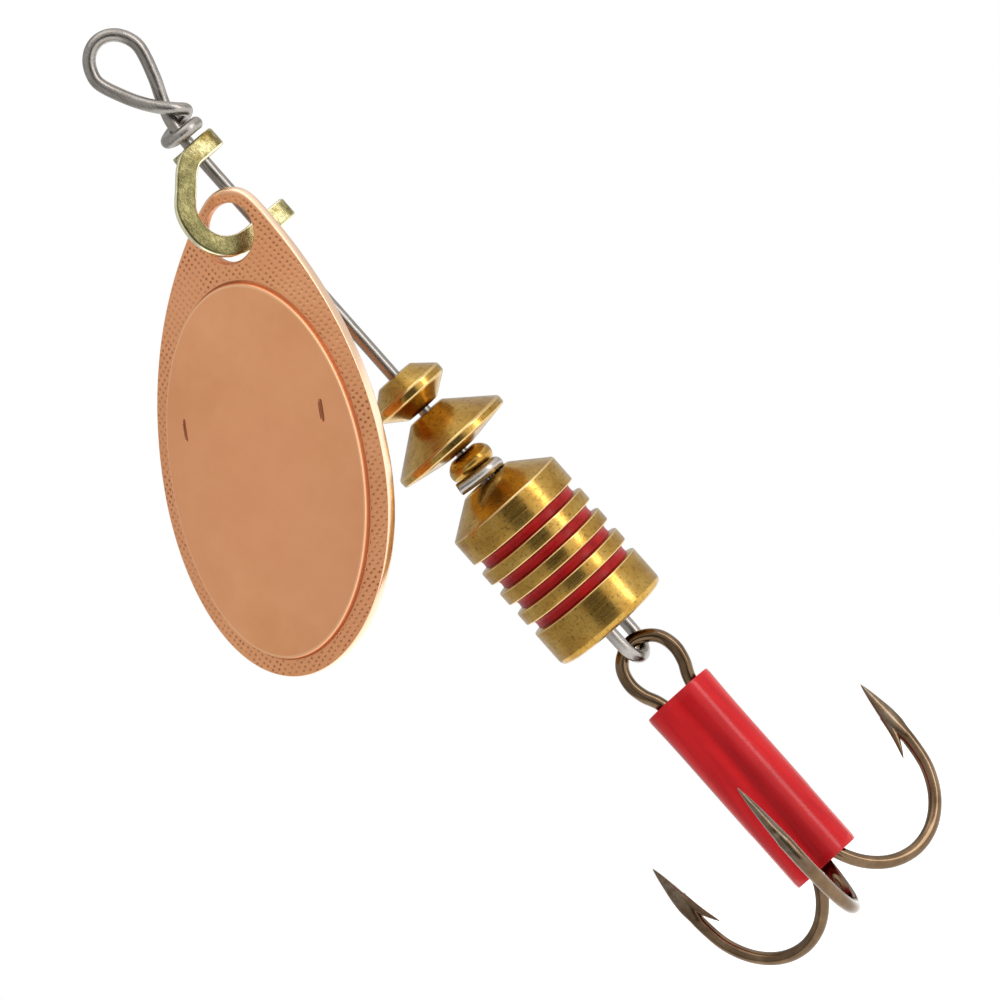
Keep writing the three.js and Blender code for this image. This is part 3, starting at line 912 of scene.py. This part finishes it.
def blade():
    """The blade. Its attributes say where the material's border, the painted shade and highlight at
    the step, the painted highlight at the edge, and the dots lie.
    """
    placed = blade_placement()
    rings = blade_rings()
    columns = 320
    vertices = []
    for ring, height, _ in rings:
        for c in range(columns):
            x, y = blade_point(ring, 2 * math.pi * (c + 0.5) / columns)
            vertices.append(placed @ Vector((x, y, height - blade_sag(x, y))))
    faces = capped_faces(len(rings), columns)
    piece = new_object("blade_copper", vertices, faces, COPPER, sharp_angle=60)
    zones = {}
    for zone, (start, end) in BLADE_ZONES.items():
        zones[zone] = [float(start < ring < end) for ring, _, _ in rings]
    zones["edge"] = [edge for _, _, edge in rings]
    for zone, values in zones.items():
        point_values(piece, zone).foreach_set("value", np.repeat(values, columns))
    combine(piece, hole_cutter(placed), "DIFFERENCE")
    for side in (-1, 1):
        combine(piece, dash_cutter(placed, side), "DIFFERENCE")
    sheet = piece.data.attributes.new("sheet", "FLOAT_VECTOR", "POINT")
    painted_shade = piece.data.attributes["painted_shade"]
    back = placed.inverted()
    for index, vertex in enumerate(piece.data.vertices):
        x, y, z = back @ (vertex.co / MM)
        sheet.data[index].vector = ((x + y) * DOTS_DIAGONAL, (x - y) * DOTS_DIAGONAL, 0)
        below_face = PANEL_RAISE + BLADE_THICKNESS / 2 - blade_sag(x, y) - z
        beside_dash = abs(abs(x) - DASH_ACROSS) < 2 * DASH_RADIUS
        along_dash = abs(y - DASH_MIDDLE) < DASH_HALF_LENGTH + 0.2
        # Painted shade also darkens the dash grooves fully and the hole's wall partly.
        if beside_dash and along_dash and 0.01 < below_face < 2 * DASH_RADIUS:
            painted_shade.data[index].value = 1.0
        elif math.hypot(x, y - BLADE_HOLE_HEIGHT) < BLADE_HOLE_RADIUS + 0.03:
            painted_shade.data[index].value = 0.4
    piece.data.set_sharp_from_angle(angle=math.radians(40))
    finish_piece(piece, "blade", "copper_plate", "blade")


# ---------------------------------------------------------------- turned pieces


def turned_piece(name, corners, material, body, slot, node):
    """A turned ring whose rounded corners carry the edge attribute, for wear."""
    profile = filleted(corners)
    piece = new_object(name, *turned_mesh(profile), material, sharp_angle=50)
    edge = point_values(piece, "edge")
    index = 0
    for _, _, fillet in corners:
        count = FILLET_STEPS + 1 if fillet else 1
        for step in range(count):
            worn = 1.0 if 0 < step < count - 1 and fillet < 0.12 else 0.0
            for _ in range(TURNED_SIDES):
                edge[index].value = worn
                index += 1
    finish_piece(piece, body, slot, node)


def bead_bore(low, high):
    """A bead's bore, from its upper mouth to its lower one."""
    return [
        (BEAD_BORE_RADIUS + 0.05, high.z, 0.05),
        (BEAD_BORE_RADIUS, high.z - 0.15, 0),
        (BEAD_BORE_RADIUS, low.z + 0.15, 0),
        (BEAD_BORE_RADIUS + 0.05, low.z, 0.05),
    ]


def bicone_bead():
    low, high = (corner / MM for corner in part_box("bicone_bead"))
    turned_piece("bead_bicone", [
        (1.2, low.z, 0.08),
        (2.62, low.z + 1.0, 0.1),
        (BICONE_BEAD_RADIUS, low.z + 1.12, 0.08),
        (BICONE_BEAD_RADIUS, low.z + 1.6, 0.08),
        (2.62, high.z - 1.1, 0.1),
        (1.33, high.z, 0.08),
        *bead_bore(low, high),
    ], BRASS, "bicone_bead", "turned_brass", "bicone_bead")


def cone_bead():
    low, high = (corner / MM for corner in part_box("cone_bead"))
    turned_piece("bead_cone", [
        (1.3, low.z, 0.08),
        (4.15, low.z + 0.5, 0.08),
        (CONE_BEAD_RADIUS, low.z + 0.6, 0.06),
        (CONE_BEAD_RADIUS, high.z - 2.3, 0.06),
        (4.18, high.z - 2.2, 0.08),
        (1.33, high.z, 0.08),
        *bead_bore(low, high),
    ], BRASS, "cone_bead", "turned_brass", "cone_bead")


def round_bead():
    low, high = (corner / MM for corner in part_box("round_bead"))
    middle, half = (low.z + high.z) / 2, (high.z - low.z) / 2
    flat = math.radians(ROUND_BEAD_FLAT)
    outer = []
    for step in range(25):
        angle = -flat + 2 * flat * step / 24
        height = middle + half * math.sin(angle) / math.sin(flat)
        outer.append((ROUND_BEAD_RADIUS * math.cos(angle), height, 0))
    turned_piece("bead_round", [
        *outer,
        (BEAD_BORE_RADIUS, high.z, 0),
        (BEAD_BORE_RADIUS, low.z, 0),
    ], BRASS, "round_bead", "turned_brass", "round_bead")


def body():
    low, high = (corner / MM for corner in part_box("body"))
    shoulder = high.z - BODY_CONE_HEIGHT
    corners = [
        (3.75, low.z, 0.15),
        (4.12, low.z + 0.13, 0.15),
        (BODY_RADIUS, low.z + 0.42, 0.15),
    ]
    for index in reversed(range(GROOVE_COUNT)):
        middle = FIRST_GROOVE - index * GROOVE_PITCH
        corners += [
            (BODY_RADIUS, middle - GROOVE_MOUTH / 2, 0.09),
            (GROOVE_FLOOR_RADIUS, middle - GROOVE_FLOOR / 2, 0),
            (GROOVE_FLOOR_RADIUS, middle + GROOVE_FLOOR / 2, 0),
            (BODY_RADIUS, middle + GROOVE_MOUTH / 2, 0.09),
        ]
    corners += [
        (BODY_RADIUS, shoulder, 0.1),
        (BODY_TOP_RADIUS, high.z, 0.08),
        (BODY_THROAT_RADIUS + 0.15, high.z, 0.05),
        (BODY_THROAT_RADIUS, high.z - 0.3, 0.1),
        (BODY_THROAT_RADIUS, shoulder, 0),
        (BODY_BORE_RADIUS, shoulder - 0.4, 0),
        (BODY_BORE_RADIUS, low.z + 0.1, 0),
        (BODY_BORE_RADIUS + 0.1, low.z, 0),
    ]
    turned_piece("body_weight", corners, BRASS, "body", "turned_brass", "body")


def enamel_rings():
    """The paint in the grooves, a little hollow in its middle where it met the walls."""
    for index in range(GROOVE_COUNT):
        middle = FIRST_GROOVE - index * GROOVE_PITCH
        half = GROOVE_FLOOR / 2
        inner = GROOVE_FLOOR_RADIUS + 0.01
        outer = []
        for step in range(9):
            share = -1 + step / 4
            outer.append((ENAMEL_RADIUS + 0.04 * share**2, middle + (half + 0.035) * share, 0))
        corners = [*outer, (inner, middle + half, 0), (inner, middle - half, 0)]
        name = f"enamel_ring_{index + 1}"
        turned_piece(f"paint_ring_{index + 1}", corners, ENAMEL, "body", "red_enamel", name)


# ---------------------------------------------------------------- treble hook

HOOK_PLACE = Matrix.Translation((LOOP_CENTRE_X, 0, LOOP_BOTTOM))
HOOK_PLACE @= Matrix.Rotation(-math.radians(HOOK_TILT), 4, "X")


def in_hook_frame(vertices):
    return [tuple(HOOK_PLACE @ Vector(v)) for v in vertices]


def at_azimuth(azimuth, distance, height):
    angle = math.radians(azimuth)
    return (distance * math.cos(angle), distance * math.sin(angle), height)


def bend_knots(azimuth):
    """One hook's wire, from the spear's base round the bend and up to where the shanks meet."""
    middle = (HOOK_REACH + SHANK_RADIUS) / 2
    half = (HOOK_REACH - SHANK_RADIUS) / 2
    knots = [at_azimuth(azimuth, HOOK_REACH, BEND_START + 0.5)]
    for step in range(9):
        angle = -math.pi * step / 8
        height = BEND_START + BEND_HEIGHT * math.sin(angle)
        knots.append(at_azimuth(azimuth, middle + half * math.cos(angle), height))
    knots.append(at_azimuth(azimuth, SHANK_RADIUS, (BEND_START + SHANKS_MEET) / 2))
    return knots


def forged(name, azimuth, vertices, rings, columns):
    """A closed object from rings of points in the plane of one hook."""
    turned = Matrix.Rotation(math.radians(azimuth), 4, "Z")
    placed = in_hook_frame(turned @ Vector(v) for v in vertices)
    return new_object(name, placed, capped_faces(rings, columns), BRONZE)


def spear(azimuth):
    """The forged point: an oval section, wide in the hook's own plane, tapering to the tip."""
    stations = smooth_path([
        (HOOK_WIRE_RADIUS - 0.01, HOOK_WIRE_RADIUS - 0.01, BEND_START - 0.1),
        (0.5, 0.42, BEND_START + 0.6),
        (0.6, 0.38, BEND_START + 1.3),
        (0.56, 0.33, BEND_START + 2.1),
        (0.36, 0.23, BEND_START + 3.3),
        (0.15, 0.11, BEND_START + 4.3),
        (0.02, 0.02, POINT_TIP),
    ], 6)
    columns = 24
    vertices = []
    for wide, deep, height in stations:
        for angle in angles_round(columns):
            vertices.append((HOOK_REACH + wide * math.cos(angle), deep * math.sin(angle), height))
    return forged("spear", azimuth, vertices, len(stations), columns)


def barb(azimuth):
    """The barb: a sliver raised from the spear's inner side, pointing back down."""
    root = Vector((HOOK_REACH - 0.2, 0, BEND_START + 2.1))
    tip = Vector((HOOK_REACH - 1.27, 0, BEND_START - 0.72))
    line = (tip - root).normalized()
    outward = Vector((line.z, 0, -line.x))
    columns = 16
    stations = 10
    vertices = []
    for step in range(stations):
        share = step / (stations - 1)
        wide = 0.02 + 0.4 * (1 - share) ** 0.8
        deep = 0.02 + 0.26 * (1 - share) ** 0.6
        centre = root.lerp(tip, share) - outward * 0.1 * math.sin(math.pi * share)
        for angle in angles_round(columns):
            aside = Vector((0, deep * math.sin(angle), 0))
            vertices.append(centre + outward * wide * math.cos(angle) + aside)
    return forged("barb", azimuth, vertices, stations, columns)


def hook_wire(name, knots, azimuths, node):
    """A bent hook wire with a spear and a barb joined on at each azimuth."""
    vertices, faces = tube_mesh(smooth_path(knots, 8), HOOK_WIRE_RADIUS)
    piece = new_object(name, in_hook_frame(vertices), faces, BRONZE)
    for azimuth in azimuths:
        combine(piece, spear(azimuth), "UNION")
        combine(piece, barb(azimuth), "UNION")
    piece.data.shade_smooth()
    piece.data.set_sharp_from_angle(angle=math.radians(40))
    finish_piece(piece, "hook", "bronzed_steel", node)


def hook_eye_knots(side):
    return [
        (side * 1.3, 0, -3.1),
        (side * 1.75, 0, -2.05),
        (side * HOOK_EYE_HALF_WIDTH, 0, HOOK_EYE_WIDEST),
        (side * 1.62, 0, 0.15),
        (side * 0.95, 0, 0.8),
    ]


def hook_arm(azimuth, side):
    meeting = at_azimuth(azimuth, SHANK_RADIUS, SHANKS_MEET)
    return [*bend_knots(azimuth), meeting, *hook_eye_knots(side)]


def treble_hook():
    left, right, front = (HOOK_AZIMUTHS[side] for side in ("left", "right", "front"))
    double = [*hook_arm(left, -1), (0, 0, HOOK_EYE_TOP), *reversed(hook_arm(right, 1))]
    hook_wire("hook_pair", double, (left, right), "hook_double")
    single = [*bend_knots(front), at_azimuth(front, SHANK_RADIUS, SINGLE_SHANK_TOP)]
    hook_wire("hook_third", single, (front,), "hook_single")


def sleeve_radius(angle, height_share):
    """The tube is soft and three-sided over the shanks, creased, and flares a little at its top."""
    flare = SLEEVE_FLARE * max(0, (height_share - 0.75) / 0.25) ** 2
    lobes = SLEEVE_LOBES * math.cos(3 * (angle - math.radians(HOOK_AZIMUTHS["front"] + 60)))
    crease = CREASE_DEPTH * math.exp(-((from_crease(angle, height_share) / CREASE_WIDTH) ** 2))
    crease *= 0.35 + 0.65 * math.sin(math.pi * height_share)
    return SLEEVE_RADIUS - 0.05 + lobes + flare - crease


def from_crease(angle, height_share):
    """How far round the tube a point is from the crease that the front shank presses into it."""
    crease_side = math.radians(HOOK_AZIMUTHS["front"]) + 0.08 * math.sin(2.2 * height_share)
    return math.remainder(angle - crease_side, 2 * math.pi)


def hook_sleeve():
    """The red tube, from the outside of its lower end up and back down its inside."""
    columns = 144
    levels = 48
    vertices = []

    def add_ring(share, inset, slant=0):
        for angle in angles_round(columns):
            radius = sleeve_radius(angle, share) - inset
            tilt = slant * math.cos(angle - 0.6)
            height = SLEEVE_BOTTOM + (SLEEVE_TOP - SLEEVE_BOTTOM) * share + tilt
            vertices.append((radius * math.cos(angle), radius * math.sin(angle), height))

    for level in range(levels):
        share = level / (levels - 1)
        soft = 0.05 * max(0, 1 - min(share, 1 - share) / 0.006)
        add_ring(share, soft, slant=0.03 if level in (0, levels - 1) else 0)
    for level in reversed(range(levels)):
        add_ring(level / (levels - 1), SLEEVE_WALL)
    faces = grid_faces(2 * levels, columns, close_rings=True)
    piece = new_object("sleeve_tube", in_hook_frame(vertices), faces, TUBE_RED, sharp_angle=50)
    # The crease share is painted shade along the front crease, spreading further on its right and
    # fading upwards.
    crease = point_values(piece, "crease")
    for level in range(levels):
        share = level / (levels - 1)
        fade = 1 - 0.45 * share
        for c, angle in enumerate(angles_round(columns)):
            away = from_crease(angle, share)
            spread = CREASE_SHADE_LEFT if away < 0 else CREASE_SHADE_RIGHT
            crease[level * columns + c].value = math.exp(-((away / spread) ** 2)) * fade
    finish_piece(piece, "hook", "red_plastic", "hook_sleeve")


# ---------------------------------------------------------------- stage and light

# (place, brightness) round the room. Places 0 and 1 are straight behind the lure, 0.25 is its left,
# 0.5 its front and 0.75 its right.
LEVEL_ROOM = (
    (0.0, 0.45), (0.2, 0.42), (0.25, 0.36), (0.435, 0.34), (0.455, 0.08), (0.56, 0.07),
    (0.575, 0.8), (0.63, 1.0), (0.67, 0.9), (0.7, 0.65), (0.8, 0.55), (1.0, 0.45),
)
UPPER_ROOM = (
    (0.0, 0.35), (0.18, 0.45), (0.24, 0.5), (0.44, 0.5), (0.5, 0.45), (0.58, 0.68),
    (0.66, 0.95), (0.78, 0.85), (1.0, 0.35),
)
ROOM_TINT = (1, 0.985, 0.96)
ROOM_STRENGTH = 1.5
UPPER_ROOM_STARTS = 0.06
UPPER_ROOM_FULL = 0.26
LURE_MIDDLE = (0, 0, -40)


def studio_world():
    """White behind the lure. In reflections it is a room with a dark front and a bright right."""
    world = bpy.data.worlds.new("studio")
    bpy.context.scene.world = world
    world.use_nodes = True
    tree = world.node_tree
    tree.nodes.clear()

    def node(kind, *inputs, **settings):
        made = tree.nodes.new(kind)
        for name, value in settings.items():
            setattr(made, name, value)
        for socket, value in zip(made.inputs, inputs):
            if isinstance(value, bpy.types.NodeSocket):
                tree.links.new(value, socket)
            elif value is not None:
                socket.default_value = value
        return made

    def ramp(position, stops):
        made = node("ShaderNodeValToRGB", position)
        elements = made.color_ramp.elements
        while len(elements) < len(stops):
            elements.new(0.5)
        for element, (place, level) in zip(elements, stops):
            element.position = place
            element.color = (*(level * tint for tint in ROOM_TINT), 1)
        return made.outputs["Color"]

    parts = node("ShaderNodeSeparateXYZ", node("ShaderNodeTexCoord").outputs["Generated"])
    front = node("ShaderNodeMath", parts.outputs["Y"], -1.0, operation="MULTIPLY").outputs[0]
    azimuth = node("ShaderNodeMath", parts.outputs["X"], front, operation="ARCTAN2").outputs[0]
    turn = node("ShaderNodeMapRange", azimuth, -math.pi, math.pi, 0.0, 1.0).outputs["Result"]
    level_room = ramp(turn, LEVEL_ROOM)
    upper_room = ramp(turn, UPPER_ROOM)
    limits = (UPPER_ROOM_STARTS, UPPER_ROOM_FULL, 0.0, 1.0)
    height = node("ShaderNodeMapRange", parts.outputs["Z"], *limits).outputs["Result"]
    room = node("ShaderNodeMix", data_type="RGBA")
    tree.links.new(height, room.inputs["Factor"])
    tree.links.new(level_room, room.inputs["A"])
    tree.links.new(upper_room, room.inputs["B"])
    mirrored = node("ShaderNodeBackground", room.outputs["Result"], ROOM_STRENGTH).outputs[0]
    seen = node("ShaderNodeBackground", (1, 1, 1, 1), 1.0).outputs[0]
    camera_ray = node("ShaderNodeLightPath").outputs["Is Camera Ray"]
    chosen = node("ShaderNodeMixShader", camera_ray, mirrored, seen).outputs[0]
    node("ShaderNodeOutputWorld", chosen)


def soft_light(name, azimuth, elevation, distance, size, power):
    """A soft box that faces the lure's middle; its size is (across, up)."""
    data = bpy.data.lights.new(name, "AREA")
    data.shape = "RECTANGLE"
    data.size, data.size_y = (side * MM for side in size)
    data.energy = power
    lamp = bpy.data.objects.new(name, data)
    bpy.context.scene.collection.objects.link(lamp)
    a, e = math.radians(azimuth), math.radians(elevation)
    away = Vector((math.sin(a) * math.cos(e), -math.cos(a) * math.cos(e), math.sin(e)))
    lamp.location = (Vector(LURE_MIDDLE) + away * distance) * MM
    lamp.rotation_euler = away.to_track_quat("Z", "Y").to_euler()


def studio():
    """The room, two soft lights and a white floor a little below the hook."""
    studio_world()
    soft_light("key_right", azimuth=55, elevation=12, distance=300, size=(60, 260), power=0.2)
    soft_light("top", azimuth=30, elevation=70, distance=300, size=(240, 240), power=0.15)
    floor_mesh = bpy.data.meshes.new("floor")
    reach = 250 * MM
    level = cad_low.z - 30 * MM
    corners = [(x * reach, y * reach, level) for x, y in ((-1, -1), (1, -1), (1, 1), (-1, 1))]
    floor_mesh.from_pydata(corners, [], [(0, 1, 2, 3)])
    floor = bpy.data.objects.new("floor", floor_mesh)
    bpy.context.scene.collection.objects.link(floor)
    paper = bpy.data.materials.new("white_paper")
    paper.use_nodes = True
    surface = paper.node_tree.nodes["Principled BSDF"]
    surface.inputs["Base Color"].default_value = (0.9, 0.9, 0.9, 1)
    surface.inputs["Roughness"].default_value = 0.9
    surface.inputs["Emission Color"].default_value = (1, 1, 1, 1)
    surface.inputs["Emission Strength"].default_value = 0.55
    floor.data.materials.append(paper)
    bpy.context.scene.view_settings.view_transform = "Standard"


# ---------------------------------------------------------------- the lure

wire_shaft()
clevis()
blade()
bicone_bead()
cone_bead()
round_bead()
body()
enamel_rings()
treble_hook()
hook_sleeve()
studio()
